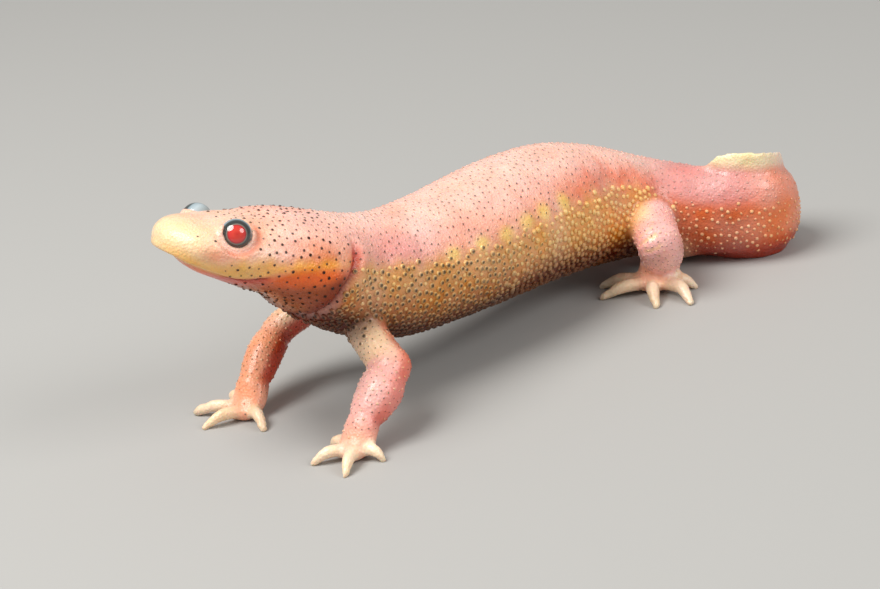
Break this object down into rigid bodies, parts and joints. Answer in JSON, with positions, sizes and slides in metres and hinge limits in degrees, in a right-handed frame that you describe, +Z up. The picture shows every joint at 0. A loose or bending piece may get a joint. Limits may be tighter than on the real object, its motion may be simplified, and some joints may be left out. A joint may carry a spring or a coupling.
{
  "type": "ribbed newt model",
  "caption": "Life-size still model of an albino Iberian ribbed newt striding with its chest raised and its tail folded back along the floor.",
  "frame": {"origin": "centre of the bounding box at floor level", "axes": "the newt faces -Y, its left side is toward +X, +Z is up"},
  "size_m": [0.0707, 0.1159, 0.0372],
  "materials": {
    "back_skin": "moist pink amphibian skin with small dark-tipped warts",
    "head_skin": "smooth moist peach skin with small black dots, yellow at the snout, orange at the throat",
    "flank_skin": "moist golden-brown skin packed with pale gold warts",
    "tail_skin": "moist pink-brown skin with scattered pale granules",
    "fin_skin": "thin cream-yellow translucent fin",
    "limb_skin": "moist pink to orange skin, finely dotted",
    "digit_skin": "smooth cream skin",
    "eye_gloss": "wet clear cornea over a red pupil and a dark ring"
  },
  "bodies": {
    "root": {"head": "head_skin", "lower_jaw": "head_skin", "eye_left": "eye_gloss", "eye_right": "eye_gloss", "neck": "back_skin", "trunk_front": "flank_skin", "trunk_middle": "flank_skin", "trunk_rear": "flank_skin", "hips": "tail_skin", "tail_1": "tail_skin", "tail_2": "tail_skin", "tail_3": "tail_skin", "tail_4": "tail_skin", "tail_tip": "tail_skin", "fin_upper_1": "fin_skin", "fin_upper_2": "fin_skin", "fin_upper_3": "fin_skin", "fin_upper_4": "fin_skin", "fin_upper_tip": "fin_skin", "fin_lower_1": "fin_skin", "fin_lower_2": "fin_skin", "fin_lower_3": "fin_skin", "fin_lower_4": "fin_skin", "fin_lower_tip": "fin_skin", "upper_arm_left": "limb_skin", "upper_arm_right": "limb_skin", "forearm_left": "limb_skin", "forearm_right": "limb_skin", "hand_left": "limb_skin", "hand_right": "limb_skin", "thigh_left": "limb_skin", "thigh_right": "limb_skin", "shin_left": "limb_skin", "shin_right": "limb_skin", "foot_left": "limb_skin", "foot_right": "limb_skin", "finger_left_1": "digit_skin", "finger_left_2": "digit_skin", "finger_left_3": "digit_skin", "finger_left_4": "digit_skin", "toe_left_1": "digit_skin", "toe_left_2": "digit_skin", "toe_left_3": "digit_skin", "toe_left_4": "digit_skin", "toe_left_5": "digit_skin", "finger_right_1": "digit_skin", "finger_right_2": "digit_skin", "finger_right_3": "digit_skin", "finger_right_4": "digit_skin", "toe_right_1": "digit_skin", "toe_right_2": "digit_skin", "toe_right_3": "digit_skin", "toe_right_4": "digit_skin", "toe_right_5": "digit_skin"}
  },
  "joints": []
}
